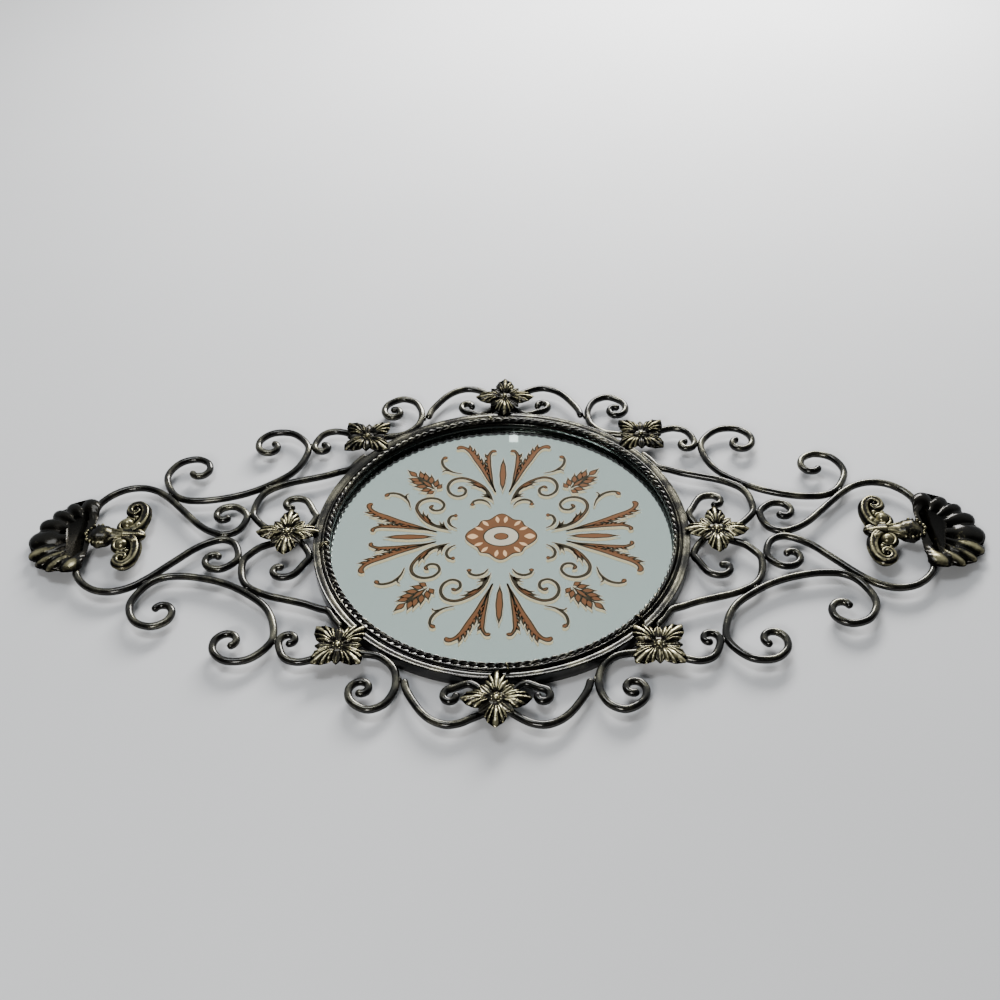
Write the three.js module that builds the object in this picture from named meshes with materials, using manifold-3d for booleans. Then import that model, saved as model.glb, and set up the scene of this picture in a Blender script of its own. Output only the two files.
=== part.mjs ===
// A round wall mirror in a wide frame of scrolled round bar, with cast flowers where the bars meet
// and a cast shell at each side. It hangs flat on a wall: the wall is the plane y = 0, the front
// faces -Y, and +Z is up. Millimetres.
import * as THREE from 'three';
import { mergeVertices } from 'three/addons/utils/BufferGeometryUtils.js';
import Module from 'manifold-3d';

const wasm = await Module();
wasm.setup();

// Driving sizes
const gap = 0.3; // left between faces that touch
const barDiameter = 6;
const barDepth = 8; // from the wall to the middle of the bars
const wallClearance = 0.5; // behind the lower of two bars that cross

const boardThickness = 3.6;
const glassDiameter = 304.8;
const glassThickness = 3;
const glassPlay = 0.5; // between the glass and the ring, all round
const glassCover = 1.4; // how far the ring's ledge reaches over the glass
const ledgeThickness = 3.3;

const ropeDiameter = 5;
const ropeOverhang = 0.4; // how far the rope stands inwards of the ledge
const ropePlay = 0.6; // between the rope and the lip
const ropeTwists = 72;

const lipThickness = 1.6;
const lipRise = 3.4; // above the ledge
const bandWidth = 8.2; // the ring's face, from the lip to its outer edge
const bandRise = 2; // above the ledge
const bandEdge = 1; // the bevel round its outer edge
const ringSides = 40;

const hangerWidth = 26;
const hangerThickness = 1.5;
const hangerReach = 13; // above the ring
const hangerHole = 7.5;
const hangerHoleRise = 6.5; // above the ring

const flowerRadius = 28.4;
const flowerThickness = 3; // at its middle
const petalLift = 1.6; // of the petals' undersides over the flower's seat
const shellRadius = 46;
const shellThickness = 4.5;
const shellTipDrop = 8;
const shellLobes = 9;

const facetRise = 1.1; // the most that a straight facet cuts off a bend of a bar
const curlStep = 50; // degrees between the points that set a curl

// Derived sizes, from the glass outwards and from the wall forwards
const barRadius = barDiameter / 2;
const touching = barDiameter + gap; // between the middles of two bars that touch
const glassRadius = glassDiameter / 2;
const rebateRadius = glassRadius + glassPlay;
const sightRadius = glassRadius - glassCover;
const ropeRadius = sightRadius - ropeOverhang + ropeDiameter / 2;
const lipInside = ropeRadius + ropeDiameter / 2 + ropePlay;
const lipOutside = lipInside + lipThickness;
const ringRadius = lipOutside + bandWidth;

const glassBack = boardThickness + gap;
const glassFront = glassBack + glassThickness;
const ledgeBack = glassFront + gap;
const ledgeFront = ledgeBack + ledgeThickness;
const ropeDepth = ledgeFront + gap + ropeDiameter / 2;
const crossingRise = touching / 2;
const crossingDepth = wallClearance + barRadius + crossingRise; // to the middle of a crossing
const barSeat = barDepth + barRadius + gap; // what lies on the bars starts here
const crossingSeat = crossingDepth + crossingRise + barRadius + gap;

// Finishes
const blackenedSteel = { color: 0x2b2a27, roughness: 0.42, metalness: 0.85 };
const antiqueGold = { color: 0x6b6650, roughness: 0.45, metalness: 0.8 };
const silvered = { color: 0xb6c2bf, roughness: 0.05, metalness: 1 };
const fibreboard = { color: 0x6a5844, roughness: 0.9, metalness: 0 };
const zincPlate = { color: 0x8d8f90, roughness: 0.5, metalness: 0.9 };

const frame = new THREE.Group();

function addPiece(name, geometry, finish) {
  const piece = new THREE.Mesh(geometry, new THREE.MeshStandardMaterial(finish));
  piece.name = name;
  frame.add(piece);
  return piece;
}

// Joining cast forms that were modelled apart
function solidOf(geometry) {
  const bare = geometry.clone();
  bare.deleteAttribute('normal');
  bare.deleteAttribute('uv');
  const merged = mergeVertices(bare, 1e-4);
  return new wasm.Manifold(new wasm.Mesh({
    numProp: 3,
    vertProperties: new Float32Array(merged.attributes.position.array),
    triVerts: new Uint32Array(merged.index.array),
  }));
}

function geometryOf(solid) {
  const mesh = solid.getMesh();
  const geometry = new THREE.BufferGeometry();
  geometry.setAttribute('position', new THREE.BufferAttribute(mesh.vertProperties, 3));
  geometry.setIndex(new THREE.BufferAttribute(mesh.triVerts, 1));
  return geometry;
}

// The ring, its rope, the glass and what holds it. A turned section is a list of
// [radius, depth from the wall], given round the section with the wall side first.
function turned(section) {
  const profile = section.map(([radius, depth]) => new THREE.Vector2(radius, -depth));
  return new THREE.LatheGeometry(profile.reverse(), ringSides);
}

function disc(radius, back, front) {
  return turned([[0, back], [radius, back], [radius, front], [0, front]]);
}

function ringSection() {
  const bandFront = ledgeFront + bandRise;
  const lipFront = ledgeFront + lipRise;
  const start = [rebateRadius, 0];
  return [
    start,
    [ringRadius, 0],
    [ringRadius, bandFront - bandEdge],
    [ringRadius - bandEdge, bandFront],
    [lipOutside + bandWidth / 2, bandFront],
    [lipOutside, ledgeFront + bandRise / 4],
    [lipOutside, lipFront],
    [lipInside, lipFront],
    [lipInside, ledgeFront],
    [sightRadius, ledgeFront],
    [sightRadius, ledgeBack],
    [rebateRadius, ledgeBack],
    start,
  ];
}

function twistedRope() {
  const sides = 4;
  const rope = new THREE.TorusGeometry(ropeRadius, ropeDiameter / 2, sides, ropeTwists);
  const position = rope.attributes.position;
  for (let side = 0; side <= sides; side++) {
    for (let twist = 0; twist <= ropeTwists; twist++) {
      const around = twist / ropeTwists * Math.PI * 2;
      const turn = (side + twist / 2) / sides * Math.PI * 2;
      const radius = ropeRadius + ropeDiameter / 2 * Math.cos(turn);
      position.setXYZ(
        side * (ropeTwists + 1) + twist,
        radius * Math.cos(around), radius * Math.sin(around), ropeDiameter / 2 * Math.sin(turn),
      );
    }
  }
  return rope.rotateX(Math.PI / 2).translate(0, -ropeDepth, 0);
}

function hangerPlate() {
  const inside = ringRadius + gap;
  const halfWidth = hangerWidth / 2;
  const corner = Math.asin(halfWidth / inside);
  const round = hangerWidth / 4;
  const top = ringRadius + hangerReach;
  const outline = new THREE.Shape();
  outline.absarc(0, 0, inside, Math.PI / 2 - corner, Math.PI / 2 + corner, false);
  outline.absarc(-halfWidth + round, top - round, round, Math.PI, Math.PI / 2, true);
  outline.absarc(halfWidth - round, top - round, round, Math.PI / 2, 0, true);
  const hole = new THREE.Path();
  hole.absarc(0, ringRadius + hangerHoleRise, hangerHole / 2, 0, Math.PI * 2, false);
  outline.holes.push(hole);
  const plate = new THREE.ExtrudeGeometry(outline, {
    depth: hangerThickness, bevelEnabled: false, curveSegments: 3,
  });
  return plate.rotateX(Math.PI / 2);
}

addPiece('mirror_ring', turned(ringSection()), blackenedSteel);
addPiece('rope_ring', twistedRope(), blackenedSteel);
addPiece('mirror_glass', disc(glassRadius, glassBack, glassFront), silvered);
addPiece('back_board', disc(glassRadius, 0, boardThickness), fibreboard);
addPiece('hanger_plate', hangerPlate(), zincPlate);

// Scroll bars. Their routes are drawn for the upper right quarter, seen from the front, as shares of
// the ring's radius: x to the right, z up. The other quarters mirror them.
function at(x, z) {
  return new THREE.Vector2(x, z).multiplyScalar(ringRadius);
}

function polar(radius, degrees) {
  const angle = THREE.MathUtils.degToRad(degrees);
  return new THREE.Vector2(radius * Math.cos(angle), radius * Math.sin(angle));
}

// A bar that touches the ring passes through this point
function onRing(degrees) {
  return polar(ringRadius + gap + barRadius, degrees);
}

// Two bars that touch here pass one on each side of the place, apart by their own thickness
function touch(x, z, degrees) {
  const side = polar(touching / 2, degrees);
  return { near: at(x, z).sub(side), far: at(x, z).add(side) };
}

// A curl from its eye to its mouth. It turns by so many degrees, and its radius grows with a power
// of the share turned.
function curl(eye, mouth, { eyeRadius, turn, flare }) {
  const reach = mouth.clone().sub(eye);
  const start = eyeRadius * ringRadius;
  const mouthAngle = THREE.MathUtils.radToDeg(reach.angle());
  const steps = Math.ceil(Math.abs(turn) / curlStep);
  return Array.from({ length: steps + 1 }, (_, i) => {
    const share = i / steps;
    const radius = start + (reach.length() - start) * share ** flare;
    return polar(radius, mouthAngle - turn * (1 - share)).add(eye);
  });
}

const shellToInner = touch(1.373, 0.172, 0);
const shellToSide = touch(1.843, 0.333, 133);
const innerToSide = touch(1.305, 0.388, 57);
const cornerToSide = touch(1.107, 0.74, 0);
const crestToCorner = touch(0.468, 0.985, 0);
const sideCrossing = at(1.14, 0);
const crestCrossing = at(0, 1.13);
const cornerSeat = at(0.785, 0.79);
const shellMiddle = at(2.275, 0);

const routes = {
  shell_scroll: [
    ...curl(at(1.515, 0.165), shellToInner.far, { eyeRadius: 0.03, turn: 350, flare: 3 }),
    at(1.394, 0.11), at(1.425, 0.048), new THREE.Vector2(1.488 * ringRadius, touching / 2),
    at(1.56, 0.04), at(1.63, 0.086), at(1.72, 0.178), shellToSide.near,
    at(1.93, 0.372), at(2.01, 0.396), at(2.10, 0.384), at(2.175, 0.335), at(2.222, 0.27), at(2.236, 0.215),
  ],
  side_scroll: [
    ...curl(at(1.338, 0.735), cornerToSide.far, { eyeRadius: 0.034, turn: 455, flare: 3 }),
    at(1.136, 0.62), at(1.19, 0.51), innerToSide.far,
    at(1.42, 0.345), at(1.54, 0.306), at(1.66, 0.288), at(1.76, 0.298),
    ...curl(at(1.725, 0.532), shellToSide.far, { eyeRadius: 0.034, turn: -420, flare: 2.26 }).reverse(),
  ],
  inner_scroll: [
    ...curl(at(1.16, -0.25), at(1.03, -0.2), { eyeRadius: 0.0245, turn: -355, flare: 4.7 }),
    onRing(-8.5), at(1.078, -0.035), sideCrossing, at(1.215, 0.035), at(1.28, 0.078), at(1.325, 0.125),
    shellToInner.near, at(1.352, 0.26), at(1.332, 0.325), innerToSide.near,
    at(1.2, 0.425), at(1.1, 0.456), at(1, 0.485), at(0.925, 0.516), onRing(32), onRing(36), onRing(40),
  ],
  corner_scroll: [
    ...curl(at(0.649, 1.035), at(0.61, 1.165), { eyeRadius: 0.034, turn: 425, flare: 5.1 }),
    at(0.535, 1.135), at(0.494, 1.06), crestToCorner.far, at(0.508, 0.91), onRing(55.5),
    at(0.68, 0.818), cornerSeat, at(0.86, 0.826), at(0.92, 0.86), at(0.985, 0.872), at(1.05, 0.843),
    ...curl(at(1.035, 0.73), cornerToSide.near, { eyeRadius: 0.0225, turn: 325, flare: 2.75 }).reverse(),
  ],
  crest_scroll: [
    ...curl(at(-0.22, 1.09), at(-0.2, 1.035), { eyeRadius: 0.026, turn: 340, flare: 3.75 }),
    onRing(97.5), at(-0.065, 1.062), crestCrossing, at(0.06, 1.178), at(0.12, 1.22), at(0.175, 1.248),
    at(0.235, 1.255), at(0.3, 1.23), at(0.35, 1.185), at(0.395, 1.12), at(0.432, 1.05), crestToCorner.near,
  ],
};
const crossings = { inner_scroll: sideCrossing, crest_scroll: crestCrossing };
const crossingLength = 0.16 * ringRadius; // a bar leaves its plane within this of a crossing

const quarters = [
  { name: 'top_right', across: 1, up: 1 },
  { name: 'top_left', across: -1, up: 1 },
  { name: 'bottom_right', across: 1, up: -1 },
  { name: 'bottom_left', across: -1, up: -1 },
];

// A bar with a corner at each of its points
class BentBar extends THREE.Curve {
  constructor(points) {
    super();
    this.points = points;
  }

  getPoint(t, target = new THREE.Vector3()) {
    const place = t * (this.points.length - 1);
    const i = Math.min(Math.floor(place), this.points.length - 2);
    return target.lerpVectors(this.points[i], this.points[i + 1], place - i);
  }

  getTangent(t, target = new THREE.Vector3()) {
    const last = this.points.length - 1;
    const i = Math.round(t * last);
    const here = this.points[i];
    const before = here.clone().sub(this.points[Math.max(i - 1, 0)]).normalize();
    const after = this.points[Math.min(i + 1, last)].clone().sub(here).normalize();
    return target.addVectors(before, after).normalize();
  }

  getUtoTmapping(u) {
    return u;
  }
}

// Points along a smooth curve through the knots, closer together where it bends
function smoothRoute(knots) {
  const curve = new THREE.CatmullRomCurve3(knots, false, 'centripetal');
  const spans = knots.length - 1;
  const points = [knots[0]];
  for (let span = 0; span < spans; span++) {
    const bend = curve.getTangent(span / spans).angleTo(curve.getTangent((span + 1) / spans));
    const rise = knots[span].distanceTo(knots[span + 1]) * bend / 8;
    const parts = Math.max(1, Math.ceil(Math.sqrt(rise / facetRise)));
    for (let part = 1; part <= parts; part++) points.push(curve.getPoint((span + part / parts) / spans));
  }
  return points;
}

// Six sides, as wide and as deep as the round bar
function barSection(radius) {
  const corners = Array.from({ length: 6 }, (_, i) => {
    const corner = polar(radius, i * 60);
    return corner.setY(corner.y / Math.sin(Math.PI / 3));
  });
  return new THREE.Shape(corners);
}

function bentBar(points, radius) {
  return new THREE.ExtrudeGeometry(barSection(radius), {
    steps: points.length - 1, extrudePath: new BentBar(points), bevelEnabled: false,
  });
}

// Where a bar crosses its twin, it bends out of its plane to pass over or under
function routeDepth(point, crossing, over) {
  const share = crossing ? Math.min(1, point.distanceTo(crossing) / crossingLength) : 1;
  const bend = crossingDepth + over * crossingRise - barDepth;
  return barDepth + bend * Math.cos(share * Math.PI / 2) ** 2;
}

for (const [kind, route] of Object.entries(routes)) {
  for (const { name, across, up } of quarters) {
    const over = kind === 'crest_scroll' ? across : up;
    const knots = route.map((point) => new THREE.Vector3(
      point.x * across, -routeDepth(point, crossings[kind], over), point.y * up,
    ));
    addPiece(`${kind}_${name}`, bentBar(smoothRoute(knots), barRadius), blackenedSteel);
  }
}

// Cast forms: the rows of a globe run from the middle of the front over the rim to the middle of
// the back, and place(column, row) gives a point as x, z and depth from the wall.
function castForm(columns, rows, place) {
  const form = new THREE.SphereGeometry(1, columns, rows);
  const position = form.attributes.position;
  for (let row = 0; row <= rows; row++) {
    for (let column = 0; column <= columns; column++) {
      const { x, z, depth } = place(column % columns, row);
      position.setXYZ(row * (columns + 1) + column, x, -depth, z);
    }
  }
  return form;
}

// Half a petal from its tip to the small leaf between two petals: degrees, reach, height
const petalEdge = [
  { angle: 0, reach: 1, height: 1 },
  { angle: 12, reach: 0.82, height: 0.62 },
  { angle: 22, reach: 0.88, height: 0.9 },
  { angle: 33, reach: 0.55, height: 0.45 },
  { angle: 45, reach: 0.62, height: 0.2 },
];
const petalColumns = 2 * (petalEdge.length - 1);

function flower(middle, seat, turn) {
  return castForm(4 * petalColumns, 4, (column, row) => {
    const petal = Math.floor(column / petalColumns);
    const step = column % petalColumns;
    const mirrored = step >= petalEdge.length;
    const edge = petalEdge[mirrored ? petalColumns - step : step];
    const angle = turn + petal * 90 + (mirrored ? 90 - edge.angle : edge.angle);
    const lift = petalLift * edge.height;
    const rows = [
      { share: 0, depth: flowerThickness * 0.5 },
      { share: 0.6 * edge.reach, depth: lift + flowerThickness * edge.height },
      { share: edge.reach, depth: lift + flowerThickness * 0.45 },
      { share: 0.3, depth: petalLift * 0.8 },
      { share: 0, depth: 0 },
    ];
    const point = polar(flowerRadius * rows[row].share, angle).add(middle);
    return { x: point.x, z: point.y, depth: seat + rows[row].depth };
  });
}

function addFlower(name, middle, seat, turn) {
  addPiece(`flower_${name}`, flower(middle, seat, turn), antiqueGold);
}

addFlower('top', crestCrossing, crossingSeat, 0);
addFlower('bottom', crestCrossing.clone().negate(), crossingSeat, 0);
addFlower('right', sideCrossing, crossingSeat, 0);
addFlower('left', sideCrossing.clone().negate(), crossingSeat, 0);
for (const { name, across, up } of quarters) {
  const middle = new THREE.Vector2(cornerSeat.x * across, cornerSeat.y * up);
  addFlower(name, middle, barSeat, 45);
}

// The shell's fan, for the right side: lobes round the front of a circle, and a narrow root at
// the back, where the leaf bow joins it.
function shellFan() {
  const fan = 105; // degrees to each side
  const edges = [];
  for (let i = 0; i <= 2 * shellLobes; i++) {
    const onLobe = i % 2 === 1;
    edges.push({ angle: fan * (i / shellLobes - 1), reach: onLobe ? 1 : 0.93, rise: onLobe ? 1 : 0.15 });
  }
  edges.push({ angle: 135, reach: 0.42, rise: 0.2 });
  edges.push({ angle: 180, reach: 0.31, rise: 0.2 });
  edges.push({ angle: 225, reach: 0.42, rise: 0.2 });
  return castForm(edges.length, 5, (column, row) => {
    const { angle, reach, rise } = edges[column];
    const forward = Math.max(0, Math.cos(THREE.MathUtils.degToRad(angle)));
    const rows = [
      { share: 0, depth: 0.25 },
      { share: 0.5, depth: 0.3 },
      { share: 0.84, depth: 0.3 + 0.7 * rise },
      { share: 1, depth: 0.35 },
      { share: 0.9, depth: 0 },
      { share: 0, depth: 0 },
    ];
    const { share, depth } = rows[row];
    const point = polar(shellRadius * share * reach, angle).add(shellMiddle);
    return { x: point.x, z: point.y, depth: barSeat + shellThickness * depth - shellTipDrop * forward * share };
  });
}

function ellipsoid(middle, depth, halfWidth, halfHeight, halfDepth, columns = 8, rows = 5) {
  return new THREE.SphereGeometry(1, columns, rows)
    .scale(halfWidth, halfDepth, halfHeight)
    .translate(middle.x, -depth, middle.y);
}

// The bow behind the shell: a dome and neck, a leaf tip, and on each side a bud and an outer curl
function leafBow() {
  const depth = barDepth + 2;
  const thick = 0.03 * ringRadius;
  const forms = [
    ellipsoid(at(2.15, 0), depth, 0.06 * ringRadius, 0.068 * ringRadius, 1.1 * thick),
    ellipsoid(at(2.05, 0), depth, 0.1 * ringRadius, 0.05 * ringRadius, 0.9 * thick, 6, 4),
    ellipsoid(at(1.975, 0), depth, 0.068 * ringRadius, 0.03 * ringRadius, 0.8 * thick, 6, 4),
  ];
  for (const side of [1, -1]) {
    forms.push(ellipsoid(at(2.015, side * 0.08), depth, 0.046 * ringRadius, 0.046 * ringRadius, thick, 6, 4));
    const curve = [
      at(1.99, 0.005), at(1.945, 0.09), at(1.934, 0.165), at(1.955, 0.213), at(1.992, 0.228),
      at(2.022, 0.2), at(2.008, 0.165),
    ];
    const points = curve.map((point) => new THREE.Vector3(point.x, -depth, side * point.y));
    forms.push(bentBar(points, 0.026 * ringRadius));
  }
  return forms;
}

function shell(across) {
  const solid = leafBow().reduce((whole, form) => whole.add(solidOf(form)), solidOf(shellFan()));
  return geometryOf(across > 0 ? solid : solid.rotate([0, 180, 0]));
}

addPiece('shell_right', shell(1), antiqueGold);
addPiece('shell_left', shell(-1), antiqueGold);

export default frame;
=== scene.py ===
import math
from math import cos, pi, sin, sqrt

import bmesh
import bpy
from mathutils import Matrix, Vector


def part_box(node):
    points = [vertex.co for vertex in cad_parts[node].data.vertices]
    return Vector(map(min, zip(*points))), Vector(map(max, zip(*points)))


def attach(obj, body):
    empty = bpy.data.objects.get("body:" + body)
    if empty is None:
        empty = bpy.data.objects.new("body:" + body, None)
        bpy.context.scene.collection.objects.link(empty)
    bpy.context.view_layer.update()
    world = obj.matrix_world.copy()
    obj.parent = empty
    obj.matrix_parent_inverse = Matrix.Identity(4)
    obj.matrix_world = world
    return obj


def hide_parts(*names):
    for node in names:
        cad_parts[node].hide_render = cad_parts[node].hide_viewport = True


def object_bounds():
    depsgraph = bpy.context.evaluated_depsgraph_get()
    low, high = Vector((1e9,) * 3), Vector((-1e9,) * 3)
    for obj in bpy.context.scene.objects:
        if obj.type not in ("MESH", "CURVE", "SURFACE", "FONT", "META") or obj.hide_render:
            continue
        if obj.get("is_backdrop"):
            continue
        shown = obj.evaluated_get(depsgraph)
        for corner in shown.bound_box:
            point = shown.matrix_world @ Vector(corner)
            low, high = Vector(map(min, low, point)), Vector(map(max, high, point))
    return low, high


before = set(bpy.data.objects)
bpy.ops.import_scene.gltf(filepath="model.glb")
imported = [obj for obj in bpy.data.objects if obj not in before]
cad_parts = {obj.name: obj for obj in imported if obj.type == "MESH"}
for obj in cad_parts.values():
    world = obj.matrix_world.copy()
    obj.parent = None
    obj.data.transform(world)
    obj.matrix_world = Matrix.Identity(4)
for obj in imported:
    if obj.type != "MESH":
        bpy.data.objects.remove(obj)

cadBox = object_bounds()
mm = 0.001
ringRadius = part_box("mirror_ring")[1].x
barDepth = 8 * mm
barRadius = 3 * mm
touching = 6.3 * mm


# Places. A route is drawn seen from the front, as shares of the ring's radius: x to the right, z up.
def at(x, z):
    return Vector((x, z)) * ringRadius


def polar(radius, degrees):
    angle = math.radians(degrees)
    return Vector((radius * cos(angle), radius * sin(angle)))


def place(point, depth):
    return Vector((point.x, -depth, point.y))


# The place's image in one of the quarters of the frame
def mirror(point, across, up):
    return Vector((point.x * across, point.y * up))


# Angles of even steps round a circle
def around(steps):
    return [2 * pi * i / steps for i in range(steps)]


def mix(a, b, share):
    return a + (b - a) * share


def smoothStep(value, low, high):
    share = min(max((value - low) / (high - low), 0), 1)
    return share * share * (3 - 2 * share)


# A curve through the knots that doesn't overshoot where they stand close together
def smoothLine(knots, spacing):
    knots = [Vector(knot) for knot in knots]
    padded = [knots[0] * 2 - knots[1], *knots, knots[-1] * 2 - knots[-2]]
    line = [knots[0]]
    for before, start, end, after in zip(padded, padded[1:], padded[2:], padded[3:]):
        t1 = sqrt((start - before).length)
        t2 = t1 + sqrt((end - start).length)
        t3 = t2 + sqrt((after - end).length)
        steps = max(1, math.ceil((end - start).length / spacing))
        for step in range(1, steps + 1):
            t = mix(t1, t2, step / steps)
            a1 = mix(before, start, t / t1)
            a2 = mix(start, end, (t - t1) / (t2 - t1))
            a3 = mix(end, after, (t - t2) / (t3 - t2))
            b1 = mix(a1, a2, t / t2)
            b2 = mix(a2, a3, (t - t1) / (t3 - t1))
            line.append(mix(b1, b2, (t - t1) / (t2 - t1)))
    return line


# The direction square to a flat line at one of its points
def sideways(line, i):
    ahead = (line[min(i + 1, len(line) - 1)] - line[max(i - 1, 0)]).normalized()
    return Vector((-ahead.y, ahead.x))


# Reads a list of (share, value) with smooth steps between its entries
def follow(profile, share):
    for (low, first), (high, second) in zip(profile, profile[1:]):
        if share <= high:
            return mix(first, second, smoothStep(share, low, high))
    return profile[-1][1]


# Nodes of a material or a Geometry Nodes tree. Inputs are values or the outputs of other nodes.
def fillInputs(tree, node, inputs):
    for name, value in inputs.items():
        if isinstance(value, bpy.types.NodeSocket):
            tree.links.new(value, node.inputs[name])
        else:
            node.inputs[name].default_value = value


def addNode(tree, kind, inputs=None, **settings):
    made = tree.nodes.new(kind)
    for name, value in settings.items():
        setattr(made, name, value)
    fillInputs(tree, made, inputs or {})
    return made


def maths(tree, operation, first, second=0.0, clamp=False):
    inputs = {0: first, 1: second}
    return addNode(tree, "ShaderNodeMath", inputs, operation=operation, use_clamp=clamp).outputs[0]


def blend(tree, share, low, high):
    inputs = {"Factor": share, 6: low, 7: high}
    return addNode(tree, "ShaderNodeMix", inputs, data_type="RGBA").outputs[2]


def noise(tree, spot, scale, detail):
    inputs = {"Vector": spot, "Scale": scale, "Detail": detail}
    return addNode(tree, "ShaderNodeTexNoise", inputs).outputs["Fac"]


def newMaterial(name):
    material = bpy.data.materials.new(name)
    material.use_nodes = True
    return material, material.node_tree, material.node_tree.nodes["Principled BSDF"]


# A node group. An input is given by its default value, or by its socket type where it has none.
def newGroup(name, kind, inputs, outputs):
    tree = bpy.data.node_groups.new(name, kind)
    for label, value in inputs.items():
        if isinstance(value, str):
            tree.interface.new_socket(label, in_out="INPUT", socket_type=value)
        else:
            socketType = "NodeSocketInt" if isinstance(value, int) else "NodeSocketFloat"
            tree.interface.new_socket(label, in_out="INPUT", socket_type=socketType).default_value = value
    socketType = "NodeSocketGeometry" if kind == "GeometryNodeTree" else "NodeSocketFloat"
    for label in outputs:
        tree.interface.new_socket(label, in_out="OUTPUT", socket_type=socketType)
    return tree, tree.nodes.new("NodeGroupInput").outputs, tree.nodes.new("NodeGroupOutput").inputs


# Objects and meshes
def addObject(name, data):
    made = bpy.data.objects.new(name, data)
    bpy.context.scene.collection.objects.link(made)
    return made


def newMesh(name, points, edges, faces):
    mesh = bpy.data.meshes.new(name)
    mesh.from_pydata([tuple(point) for point in points], edges, faces)
    return mesh


def newPiece(name, vertices, faces, materials, faceMaterials=None, relief=None, smooth=True):
    mesh = newMesh(name, vertices, [], faces)
    for material in materials:
        mesh.materials.append(material)
    if faceMaterials:
        mesh.polygons.foreach_set("material_index", faceMaterials)
    if relief:
        mesh.attributes.new("relief", "FLOAT", "POINT").data.foreach_set("value", relief)
    return finishPiece(name, mesh, smooth)


def finishPiece(name, mesh, smooth=True):
    cleaned = bmesh.new()
    cleaned.from_mesh(mesh)
    bmesh.ops.remove_doubles(cleaned, verts=cleaned.verts, dist=1e-6)
    bmesh.ops.recalc_face_normals(cleaned, faces=cleaned.faces)
    cleaned.to_mesh(mesh)
    cleaned.free()
    mesh.polygons.foreach_set("use_smooth", [smooth] * len(mesh.polygons))
    mesh.update()
    return addObject(name, mesh)


def dress(piece, slot, *nodes):
    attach(piece, "root")
    if nodes:
        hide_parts(*nodes)


# Collects closed forms that make one cast piece
class Casting:
    def __init__(self):
        self.vertices = []
        self.faces = []
        self.relief = []

    def add(self, vertices, faces, relief=None):
        start = len(self.vertices)
        self.vertices.extend(vertices)
        self.faces.extend([[start + corner for corner in face] for face in faces])
        self.relief.extend(relief if relief else [0.5] * len(vertices))

    # Rows of points, each row a loop; the first and last rows are closed with a cap
    def addTube(self, rows, relief=None, caps=True):
        count = len(rows[0])
        faces = []
        for low in range(0, (len(rows) - 1) * count, count):
            high = low + count
            for column in range(count):
                beside = (column + 1) % count
                faces.append([low + column, low + beside, high + beside, high + column])
        if caps:
            faces.append(list(range(count))[::-1])
            faces.append([(len(rows) - 1) * count + column for column in range(count)])
        self.add([point for row in rows for point in row], faces, relief)

    # A sheet closed round its edge; spotAt gives its front point, back point and front relief at u, v
    def addSheet(self, rows, columns, spotAt, backRelief=0.2):
        loops, relief = [], []
        for row in range(rows + 1):
            spots = [spotAt(row / rows, 2 * column / columns - 1) for column in range(columns + 1)]
            loops.append([spot[0] for spot in spots] + [spot[1] for spot in reversed(spots)])
            relief += [spot[2] for spot in spots] + [backRelief] * len(spots)
        self.addTube(loops, relief)

    def addBead(self, middle, sizes, turn=0.0, steps=12, relief=0.6):
        rows = []
        for row in range(1, steps):
            lift = pi * row / steps
            ring = []
            for angle in around(2 * steps):
                flat = Vector((cos(angle) * sizes[0], sin(angle) * sizes[1])) * sin(lift)
                flat.rotate(Matrix.Rotation(turn, 2))
                ring.append(middle + place(flat, cos(lift) * sizes[2]))
            rows.append(ring)
        self.addTube(rows, [relief] * (len(rows) * 2 * steps))

    # A round bar of changing thickness along a flat line at a fixed or changing depth
    def addRod(self, line, radii, depths, sides, ribs=0, ribHeight=0.0, flatten=1.0, relief=0.5):
        rows = []
        values = []
        for i, point in enumerate(line):
            side = sideways(line, i)
            ring = []
            for angle in around(sides):
                ridge = cos(ribs * angle) if ribs else 0
                radius = radii[i] * (1 + ribHeight * ridge)
                outward = point + side * radius * cos(angle)
                ring.append(place(outward, depths[i] + radius * flatten * sin(angle)))
                values.append(relief + 0.4 * ridge)
            rows.append(ring)
        self.addTube(rows, values)

    def piece(self, name, material, smooth=True):
        return newPiece(name, self.vertices, self.faces, [material], relief=self.relief, smooth=smooth)


# Camera and light. The camera looks up at the mirror from below, as in the photograph.
camera = {
    "elevation": 42.9415,
    "azimuth": -2.7407,
    "roll": -2.3147,
    "offset": (1.0287 * mm, -31.37 * mm, 1192.33 * mm),
    "lens": 48.526,
}


def addCamera():
    lift, turn = math.radians(camera["elevation"]), math.radians(camera["azimuth"])
    across, up, away = camera["offset"]
    back = Vector((-sin(turn) * cos(lift), -sin(lift), -cos(turn) * cos(lift)))
    right = Vector((cos(turn), 0, -sin(turn)))
    top = back.cross(right)
    roll = Matrix.Rotation(math.radians(camera["roll"]), 3, back)
    right.rotate(roll)
    top.rotate(roll)
    view = addObject("camera", bpy.data.cameras.new("camera"))
    view.data.lens = camera["lens"]
    view.data.clip_start = 0.01
    stand = back * away - right * across - top * up + Vector((0, -barDepth, 0))
    view.matrix_world = Matrix.Translation(stand) @ Matrix((right, top, back)).transposed().to_4x4()
    bpy.context.scene.camera = view


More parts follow.
